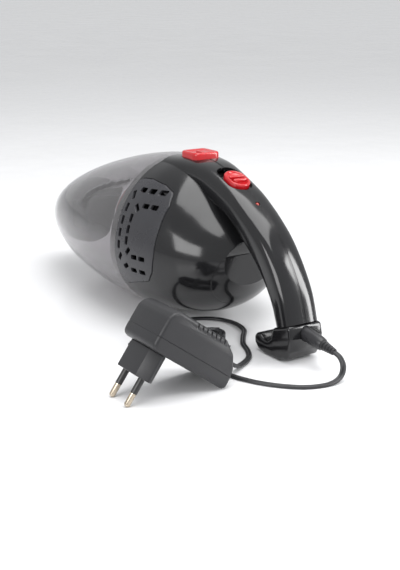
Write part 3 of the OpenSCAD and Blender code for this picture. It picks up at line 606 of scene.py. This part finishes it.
def make_floor(material):
    """A large white floor that is staging, not part of the object."""
    corners = [(-FLOOR, -FLOOR, 0), (FLOOR, -FLOOR, 0), (FLOOR, FLOOR, 0), (-FLOOR, FLOOR, 0)]
    floor = new_object("floor", corners, [(0, 1, 2, 3)])
    floor.data.materials.append(material)


# ---------------------------------------------------------------- materials
def base_material(name, color, rough, coat=0.0, specular=0.5, metallic=0.0):
    """A new Principled material and its shader node."""
    material = bpy.data.materials.new(name)
    material.use_nodes = True
    shader = material.node_tree.nodes["Principled BSDF"]
    shader.inputs["Base Color"].default_value = (*color, 1)
    shader.inputs["Roughness"].default_value = rough
    shader.inputs["Coat Weight"].default_value = coat
    shader.inputs["Coat Roughness"].default_value = 0.03
    shader.inputs["Specular IOR Level"].default_value = specular
    shader.inputs["Metallic"].default_value = metallic
    return material, shader


def node(material, kind, **values):
    """A shader node with its input values set."""
    made = material.node_tree.nodes.new(kind)
    for name, value in values.items():
        made.inputs[name.replace("_", " ")].default_value = value
    return made


def link(material, source, socket_out, target, socket_in):
    material.node_tree.links.new(source.outputs[socket_out], target.inputs[socket_in])


def vary(material, shader, color, spread, rough, rough_spread, scale, bump=0.0, bump_scale=900.0, edge=0.0):
    """Slow colour and roughness variation, with a fine surface grain as bump."""
    place = material.node_tree.nodes.new("ShaderNodeTexCoord")
    slow = node(material, "ShaderNodeTexNoise", Scale=scale, Detail=4.0, Roughness=0.6)
    link(material, place, "Object", slow, "Vector")
    tones = material.node_tree.nodes.new("ShaderNodeValToRGB")
    tones.color_ramp.elements[0].position = 0.3
    tones.color_ramp.elements[0].color = (*[c * (1 - spread) for c in color], 1)
    tones.color_ramp.elements[1].position = 0.7
    tones.color_ramp.elements[1].color = (*[min(1, c * (1 + spread)) for c in color], 1)
    link(material, slow, "Fac", tones, "Fac")
    link(material, tones, "Color", shader, "Base Color")
    smears = node(material, "ShaderNodeTexNoise", Scale=scale * 2.7, Detail=6.0, Roughness=0.7)
    link(material, place, "Object", smears, "Vector")
    span = node(material, "ShaderNodeMapRange", From_Min=0.35, From_Max=0.7)
    span.inputs["To Min"].default_value = max(0.01, rough - rough_spread)
    span.inputs["To Max"].default_value = rough + rough_spread
    link(material, smears, "Fac", span, "Value")
    link(material, span, "Result", shader, "Roughness")
    grain = node(material, "ShaderNodeTexNoise", Scale=bump_scale, Detail=3.0, Roughness=0.55)
    link(material, place, "Object", grain, "Vector")
    raised = node(material, "ShaderNodeBump", Strength=bump, Distance=0.0004)
    link(material, grain, "Fac", raised, "Height")
    if edge:
        round_edge = material.node_tree.nodes.new("ShaderNodeBevel")
        round_edge.samples = 4
        round_edge.inputs["Radius"].default_value = edge * MM
        link(material, round_edge, "Normal", raised, "Normal")
    link(material, raised, "Normal", shader, "Normal")
    return material


def make_materials():
    made = {}

    def plain(name, color, rough, spread=0.12, rough_spread=0.05, scale=18.0, bump=0.05, bump_scale=900.0,
              coat=0.0, edge=0.0, specular=0.5, metallic=0.0):
        material, shader = base_material(name, color, rough, coat, specular, metallic)
        made[name] = vary(material, shader, color, spread, rough, rough_spread, scale, bump, bump_scale, edge)
        return shader

    plain("gloss_black", (.010, .010, .011), .15, .25, .05, 14, .012, 260, coat=.12, edge=.35, specular=.40)
    plain("satin_grey", (.030, .030, .034), .30, .12, .05, 20, .10, 2600, edge=.35, specular=.45)
    plain("inner_black", (.02, .02, .022), .45, .2, .08, 30, .12, 1800)
    plain("rubber", (.012, .012, .012), .6, .2, .08, 40, .15, 2200)
    plain("steel", (.62, .62, .64), .25, .06, .08, 60, .05, 1500, metallic=1.0)
    plain("motor_steel", (.5, .5, .52), .35, .1, .1, 40, .08, 1200, metallic=1.0)
    plain("cell_wrap", (.05, .28, .12), .3, .1, .06, 30, .05, 600)
    plain("board_green", (.03, .2, .08), .35, .3, .08, 220, .1, 900)
    plain("led_red", (.35, .03, .02), .15, .1, .04, 100, .02, 900, coat=.5)
    plain("red_plastic", (.50, .02, .02), .28, .12, .06, 25, .06, 1200, coat=.2)
    plain("filter_cloth", (.62, .60, .55), .85, .14, .05, 140, .9, 1700)
    plain("red_gloss", (.42, .008, .012), .16, .10, .04, 22, .01, 300, coat=.3, edge=.3, specular=.45)
    plain("ivory_plastic", (.7, .68, .6), .4, .06, .06, 30, .08, 1200)
    plain("cord_black", (.018, .018, .02), .42, .2, .08, 60, .12, 1600)
    plain("tie_black", (.03, .03, .03), .5, .2, .08, 60, .15, 1600)
    plain("adapter_black", (.020, .020, .022), .38, .10, .05, 22, .16, 2400, edge=.3, specular=.40)
    plain("nickel", (.50, .43, .34), .24, .08, .08, 50, .02, 900, metallic=1.0)
    plain("sleeve_black", (.02, .02, .02), .35, .2, .06, 40, .05, 1400)
    plain("copper_brown", (.4, .2, .1), .4, .2, .1, 80, .3, 800)
    plain("floor_white", (.80, .80, .81), .22, .012, .05, 2.0, .01, 300)
    material, shader = base_material("smoke_clear", (.60, .59, .61), .04, .0, .5)
    vary(material, shader, (.50, .485, .50), .03, .02, .01, 9, 0.0, 60)
    shader.inputs["Transmission Weight"].default_value = 0.92
    shader.inputs["IOR"].default_value = 1.49
    made["smoke_clear"] = material
    return made


MATS = make_materials()


def finish_piece(obj, body, material, nodes=(), angle=32):
    """Shading, material, body and CAD nodes of a piece."""
    shade(obj, angle)
    obj.data.materials.clear()
    obj.data.materials.append(MATS[material])
    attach(obj, body)
    if nodes:
        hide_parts(*nodes)
    return obj


# ---------------------------------------------------------------- housing
def build_housing():
    """Both housing halves, with the wells for the controls."""
    outer = belly("outer", 0)
    cut(outer, rear_block("cutter"))
    unite(outer, spine_loft("spine", 0))
    cut(outer, belly("hollow", -WALL, -1, WALL))
    cut(outer, spine_loft("hollow_spine", -WALL))
    cut(outer, block("front_trim", (JOINT_X - 6, -HALF_W, 0), (JOINT_X + .02, HALF_W, 2 * BODY_H)))
    for side in (-1, 1):
        cut(outer, side_prism("window", side, 4))
        recess = side_prism("recess", side, -SEAT)
        cut(recess, belly("recess_floor", .5 - 1.6 - SEAT, -1, -1))
        cut(outer, recess)
    well = plate("well", BUTTON_SIZE / 2 + .45, BUTTON_SIZE / 2 + .45, 5.2, [(0, -12), (0, 20)])
    cut(outer, moved(well, placed(BUTTON_X, 0, SPINE_TOP, 0)))
    half_well = (SLIDER_LEN + SLIDER_TRAVEL + 3) / 2
    slider_well = plate("slider_well", half_well, 9.5, 9, [(0, -WELL_DEPTH), (0, 18)])
    cut(outer, moved(slider_well, placed(SLIDER_X, 0, SLIDER_Z, SLIDER_TILT)))
    led_hole = turned("led_hole", [(1.7, -8), (1.7, 8)], 32)
    cut(outer, moved(led_hole, placed(LED_X, 0, LED_Z, LED_TILT)))
    cut(outer, seam_groove("groove", 1.15, .28))
    right = copy_of(outer, "housing_right")
    outer.name = "housing_left"
    meet(outer, block("left_space", (-40, -2 * HALF_W, -5), (250, -.07, 200)))
    meet(right, block("right_space", (-40, .07, -5), (250, 2 * HALF_W, 200)))
    for x, z, seat in ((JOINT_X + 12, .105 * BODY_H, 16), (JOINT_X + 50, .765 * BODY_H, 20),
                       (JOINT_X + .695 * HANDLE_REACH, .64 * BODY_H, 7),
                       (JOINT_X + .84 * HANDLE_REACH, .433 * BODY_H, 7)):
        sink = turned("sink", [(3.1, seat), (3.1, HALF_W + 5)], 32)
        turn = Matrix.Translation((x * MM, 0, z * MM)) @ Matrix.Rotation(math.radians(-90), 4, "X")
        cut(right, moved(sink, turn))
    finish_piece(outer, "housing", "gloss_black", ["left_housing"])
    finish_piece(right, "housing", "gloss_black", ["right_housing"])


def build_rear_cover():
    """The rear cover."""
    cover = belly("rear_shell", 0)
    meet(cover, rear_block("cover_space", .18))
    cut(cover, belly("cover_hollow", -WALL, -1, WALL))
    cut(cover, spine_loft("cover_spine", SEAT))
    finish_piece(cover, "housing", "gloss_black", ["rear_cover"])


def build_vent_panel(side, cad_node):
    """One vent panel with its rows of slots."""
    panel = side_prism("vent_" + ("left" if side < 0 else "right"), side, SEAT + .05)
    meet(panel, belly("panel_skin", .5, 0, -1))
    cut(panel, belly("panel_back", .5 - 1.6, -1, -2))
    cut(panel, block("panel_front", (0, -2 * HALF_W, 0), (JOINT_X + .6, 2 * HALF_W, 2 * BODY_H)))
    cut_slots(panel, side, 12, 6, .825 * BODY_H, .36 * BODY_H, 8, 16, 32)
    cut_slots(panel, side, 9, 15.5, .745 * BODY_H, .445 * BODY_H, 7, 10, 33)
    finish_piece(panel, "housing", "satin_grey", [cad_node])


# ---------------------------------------------------------------- bowl
LEAF_TOP = [(-54, 74), (-43, 84), (-30, 90), (-15, 95.5), (4, 100.5), (18, 105), (24, 106.5)]
LEAF_LOW = [(-54, 72), (-39, 66), (-24, 58), (-2, 53), (24, 49)]


def along_line(points, x):
    for (x0, z0), (x1, z1) in zip(points, points[1:]):
        if x <= x1:
            return z0 + (z1 - z0) * max(0.0, (x - x0) / (x1 - x0))
    return points[-1][1]


def ease(t):
    t = max(0.0, min(1.0, t))
    return t * t * (3 - 2 * t)


def leaf_depth(x, z):
    """How far the bowl's flank is set in below its crease."""
    if x < LEAF_TOP[0][0]:
        return 0.0
    top = along_line(LEAF_TOP, x)
    low = along_line(LEAF_LOW, x)
    t = (top - z) / max(1.0, top - low)
    if t <= 0 or t >= 1:
        return 0.0
    fade = ease((x - LEAF_TOP[0][0]) / 22) * (1 - 0.75 * ease((x - 8) / 14))
    return 1.5 * fade * ease((top - z) / 1.4) * (1 - ease(t))


MOUTH_TILT = -42.0


def build_bowl():
    """The clear bowl with its leaf recesses and slanted mouth."""
    bowl = body_loft("bowl_shell", BOWL, NOSE_X, BOWL_LEN, 0, steps=16)
    for v in bowl.data.vertices:
        x, y, z = v.co / MM
        depth = leaf_depth(x, z)
        if depth and abs(y) > 5:
            v.co.y -= math.copysign(depth * MM, y)
    inner = body_loft("bowl_space", BOWL, NOSE_X, BOWL_LEN, -BOWL_WALL, BOWL_WALL, -1)
    cut(bowl, inner)
    mouth = block("mouth", (-60, -HALF_W, -120), (0, HALF_W, 40))
    stand = Matrix.Translation(((NOSE_X + 2) * MM, 0, .43 * BODY_H * MM))
    cut(bowl, moved(mouth, stand @ Matrix.Rotation(math.radians(MOUTH_TILT), 4, "Y")))
    cut(bowl, block("bowl_rear", (JOINT_X - .12, -2 * HALF_W, -5), (JOINT_X + 5, 2 * HALF_W, 200)))
    finish_piece(bowl, "bowl", "smoke_clear", ["dust_bowl"])


# ---------------------------------------------------------------- controls
def build_button():
    """The release button with its raised bar and stem."""
    h = BUTTON_SIZE / 2
    top = BUTTON_PROUD
    profile = [(0.35, -3.5), (0, -3.1), (0, top - 1.6), (.18, top - .9), (.6, top - .35),
               (1.2, top - .06), (1.9, top), (2.6, top - .12), (3.6, top - .5), (5.2, top - .95),
               (7.2, top - 1.25), (9.6, top - 1.38)]
    button = plate("release_plate", h, h, 4.6, profile, 10)
    bar_profile = [(0, top - 2.4), (0, top - .75), (.25, top - .45), (.7, top - .36)]
    bar = plate("release_bar", 4.6, 1.15, 1.1, bar_profile, 6)
    unite(button, bar)
    stem = turned("release_stem", [(3, 111.2 - SPINE_TOP), (3, -3.2)], 32)
    unite(button, stem)
    moved(button, placed(BUTTON_X, 0, SPINE_TOP, 0))
    finish_piece(button, "button", "red_gloss", ["release_button"], angle=40)


def build_slider():
    """The on-off slider."""
    hx, hy = SLIDER_LEN / 2, 8.0
    profile = [(.2, -WELL_DEPTH + .3), (0, -WELL_DEPTH + .5), (0, 1.0), (.12, 1.5), (.45, 1.85), (.95, 2.0),
               (1.5, 1.85), (2.0, 1.2), (2.6, .75), (4.0, .45), (6.0, .35), (7.6, .33)]
    slider = plate("power_slider", hx, hy, 7.9, profile, 12)
    for x, length in ((-1.2, 6.3), (3.4, 5.6)):
        ridge = plate("ridge", 1.25, length, 1.2, [(0, .1), (0, 2.1), (.2, 2.7), (.6, 3.0), (1.0, 3.08)], 6)
        unite(slider, moved(ridge, Matrix.Translation((x * MM, 0, 0))))
    stem = plate("slider_stem", 3.5, 2.3, 2.2, [(0, -5.5), (0, -WELL_DEPTH + .6)])
    unite(slider, stem)
    rest = Matrix.Translation(((SLIDER_TRAVEL / 2 - .5) * MM, 0, 0))
    moved(slider, placed(SLIDER_X, 0, SLIDER_Z, SLIDER_TILT) @ rest)
    finish_piece(slider, "slider", "red_gloss", ["switch_slider"], angle=40)


# ---------------------------------------------------------------- foot of the grip
def build_foot():
    """The foot of the grip."""
    x, z, slope, hw, depth = spine_frames(9)[-1]
    front = (x - depth * math.sin(slope), z - depth * math.cos(slope))
    outline = [(x, z), (GRIP_X, 18), (GRIP_X - 1, 9), (GRIP_X - 5.5, 2.6), (GRIP_X - 13, 0), (GRIP_X - 29, 0),
               (GRIP_X - 36, 1.6), (GRIP_X - 40, 5.5), (GRIP_X - 40.4, 10), (GRIP_X - 38, 13),
               (GRIP_X - 34, 12.8), (GRIP_X - 30.5, 10.6), (GRIP_X - 25.5, 10.6), (GRIP_X - 22, 13.5), front]
    foot = prism("grip_foot", rounded(outline[::-1], 3.4, 5), "y", -14, 14)
    soften(foot, 2.6, 5, 55)
    bore = turned("bore", [(5.05, -20.2), (5.05, 20)], 48)
    cut(foot, moved(bore, placed(PLUG_X, 0, PLUG_Z, 90 + PLUG_TILT)))
    finish_piece(foot, "housing", "gloss_black", ["handle_foot"], angle=40)


# ---------------------------------------------------------------- charger
def build_plug():
    """The charging plug and its strain relief."""
    frame_at = placed(PLUG_X, 0, PLUG_Z, 90 + PLUG_TILT)
    profile = [(3.9, 0), (4.45, .25), (4.72, .8), (4.72, 6), (4.75, 14), (4.6, 18), (4.2, 20.8),
               (3.6, 21.9), (2.4, 22)]
    plug = turned("plug_body", profile, 64)
    moved(plug, frame_at)
    finish_piece(plug, "charger", "cord_black", ["dc_plug"], angle=50)
    rings = [(2.2, 21.2), (3.3, 21.4)]
    for i in range(4):
        base = 22.4 + 2.45 * i
        r = 3.35 - .27 * i
        rings += [(r, base), (r, base + 1.35), (r - .62, base + 1.6), (r - .62, base + 2.25)]
    rings += [(2.35, 32.4), (2.1, 33)]
    relief = turned("plug_boot", rings, 56)
    moved(relief, frame_at)
    finish_piece(relief, "charger", "cord_black", ["plug_relief"], angle=50)
    return plug, relief


def case_outline():
    """Side outline of the charger case, rounded."""
    points = [(-COLUMN_BACK, 0), (FAR, 0), (FAR, CASE_T - 20), (FAR - 1.5, CASE_T - 14),
              (FAR - 7, CASE_T - 6), (FAR - 17, CASE_T), (-COLUMN_BACK + 6, CASE_T),
              (-COLUMN_BACK + 2, CASE_T - 3), (-COLUMN_BACK, CASE_T - 7)]
    return rounded(points, 5.5, 6)


def build_case():
    """The two halves of the charger case."""
    split = 9.0
    whole = prism("case_whole", case_outline(), "x", -CASE_W / 2, CASE_W / 2)
    soften(whole, 2.4, 5, 50)
    lower = copy_of(whole, "adapter_lower")
    whole.name = "adapter_upper"
    meet(lower, block("below", (-40, -60, -10), (40, 90, split - .14)))
    meet(whole, block("above", (-40, -60, split + .14), (40, 90, 60)))
    for side in (-1, 1):
        for k in range(8):
            notch = plate("notch", 1.7, .62, .5, [(0, -8.4), (0, 8.4)], 3)
            turn = Matrix.Rotation(math.radians(-side * 38), 4, "Y")
            place = Matrix.Translation((side * CASE_W / 2 * MM, (10.5 + 3.9 * k) * MM, (CASE_T - 1.2) * MM))
            cut(whole, moved(notch, place @ turn))
    relief_way = turned("relief_way", [(3.35, OUT_Y - 8), (3.35, OUT_Y + 22)], 40)
    stand = Matrix.Translation((0, 0, OUT_Z * MM)) @ Matrix.Rotation(math.radians(-90), 4, "X")
    cut(whole, moved(relief_way, stand))
    rib = prism("case_rib", case_outline(), "x", -CASE_W / 2 + 2, CASE_W / 2 - 2)
    meet(rib, block("rib_space", (-40, -60, split - 1.2), (40, 90, split + 1.2)))
    moved(rib, Matrix.Scale(.985, 4))
    unite(lower, rib)
    for piece, cad_node in ((lower, "adapter_base"), (whole, "adapter_cover")):
        moved(piece, CASE_FRAME)
        finish_piece(piece, "charger", "adapter_black", [cad_node], angle=40)


def build_column():
    """The column, mains pins and pin sleeves."""
    outline = [(-17.65, 0), (-10.8, -6.85), (10.8, -6.85), (17.65, 0), (10.8, 6.85), (-10.8, 6.85)]
    column = prism("plug_column", rounded(outline, 1.4, 4), "z", -COLUMN_LEN, 0)
    soften(column, .5, 3, 60)
    moved(column, CASE_FRAME)
    finish_piece(column, "charger", "adapter_black", ["pin_column"], angle=40)
    bottom = -COLUMN_LEN - PIN_LEN
    for i, side in enumerate((-1, 1)):
        shift = Matrix.Translation((side * PIN_PITCH / 2 * MM, 0, 0))
        tip_profile = [(.3, bottom), (1.1, bottom + .25), (1.7, bottom + .8), (2.0, bottom + 1.6),
                       (2.0, -COLUMN_LEN)]
        tip = turned("pin_tip_%d" % i, tip_profile, 40)
        moved(tip, CASE_FRAME @ shift)
        finish_piece(tip, "charger", "nickel", ["mains_pins"], angle=60)
        sleeve = turned("pin_sleeve_%d" % i, [(2.02, -COLUMN_LEN - 10), (2.12, -COLUMN_LEN - 9.9),
                                              (2.15, -COLUMN_LEN - 9.6), (2.15, -COLUMN_LEN + .2)], 40)
        moved(sleeve, CASE_FRAME @ shift)
        finish_piece(sleeve, "charger", "sleeve_black", ["pin_sleeves"], angle=50)


def build_case_relief():
    """The strain relief on the charger case."""
    rings = [(4.6, -10.5), (4.6, -8.2), (3.2, -8.0), (3.2, 1.0)]
    for i in range(4):
        base = 1.2 + 2.5 * i
        r = 3.1 - .2 * i
        rings += [(r, base), (r, base + 1.4), (r - .55, base + 1.65), (r - .55, base + 2.3)]
    rings += [(2.3, OUT_LEN - .3), (2.1, OUT_LEN)]
    relief = turned("case_boot", rings, 56)
    local = Matrix.Translation((0, OUT_Y * MM, OUT_Z * MM)) @ Matrix.Rotation(math.radians(-90), 4, "X")
    moved(relief, CASE_FRAME @ local)
    finish_piece(relief, "charger", "cord_black", ["adapter_relief"], angle=50)
    return relief


def build_tie():
    """Twist tie round the hank: a flat band with its two ends twisted together."""
    outer = plate("hank_tie", 3.0, 12.9, 2.0, [(0, 0.1), (0, 13.9)], 5)
    inner_space = block("tie_space", (-5, -12.2, -1), (5, 12.2, 13.3))
    cut(outer, inner_space)
    for side in (-1, 1):
        tail = plate("tail", 1.2, 3.2, 1.1, [(0, 13.6), (0, 14.2)], 4)
        unite(outer, moved(tail, Matrix.Translation((side * 1.6 * MM, side * 3.0 * MM, 0))))
    place = Matrix.Translation((HANK[0] * MM, HANK[1] * MM, 0))
    moved(outer, place @ Matrix.Rotation(math.radians(HANK_TURN), 4, "Z"))
    finish_piece(outer, "charger", "tie_black", ["cord_tie"], angle=40)
    return outer


def build_lead():
    """The one continuous lead, swept from the adapter through the hank to the plug."""
    first, wound, last = lead_path()
    steps = first + wound + last
    points = [p for p, _ in steps]
    edge = [e for _, e in steps]
    reach = 5
    windows = [edge[max(0, i - reach):i + reach + 1] for i in range(len(edge))]
    edge = [sum(window) / len(window) for window in windows]
    fine = smooth_rows([list(p) + [e] for p, e in zip(points, edge)], 3)
    path = [row[:3] for row in fine]
    lead = lead_mesh("charger_lead", path, [max(0.0, min(1.0, row[3])) for row in fine])
    finish_piece(lead, "charger", "cord_black", ["charger_cord", "charger_cord_end", "cord_hank"], angle=70)


# ---------------------------------------------------------------- CAD nodes that stay
KEPT = {
    "front_frame": "inner_black", "bowl_seal": "rubber", "inlet_duct": "inner_black", "inlet_flap": "rubber",
    "filter_frame": "red_plastic", "filter_cartridge": "filter_cloth", "release_latch": "inner_black",
    "latch_pin": "steel", "release_spring": "steel", "fan_housing": "inner_black",
    "impeller": "ivory_plastic", "motor_shaft": "steel", "motor": "motor_steel",
    "motor_mount": "inner_black", "battery_cells": "cell_wrap",
    "battery_tray": "inner_black", "slide_switch": "inner_black", "circuit_board": "board_green",
    "charge_led": "led_red", "housing_screws": "steel", "dc_jack": "inner_black", "dc_barrel": "nickel",
    "transformer": "copper_brown"}


def dress_kept_nodes():
    """Give each CAD node that stays visible its material."""
    for name, material in KEPT.items():
        obj = frame["nodes"][name]
        obj.data.materials.clear()
        obj.data.materials.append(MATS[material])


make_camera()
make_studio()
make_floor(MATS["floor_white"])
build_housing()
build_rear_cover()
build_vent_panel(-1, "vent_panel_left")
build_vent_panel(1, "vent_panel_right")
build_bowl()
build_button()
build_slider()
build_foot()
plug, plug_boot = build_plug()
build_case()
build_column()
case_boot = build_case_relief()
tie = build_tie()
build_lead()
dress_kept_nodes()
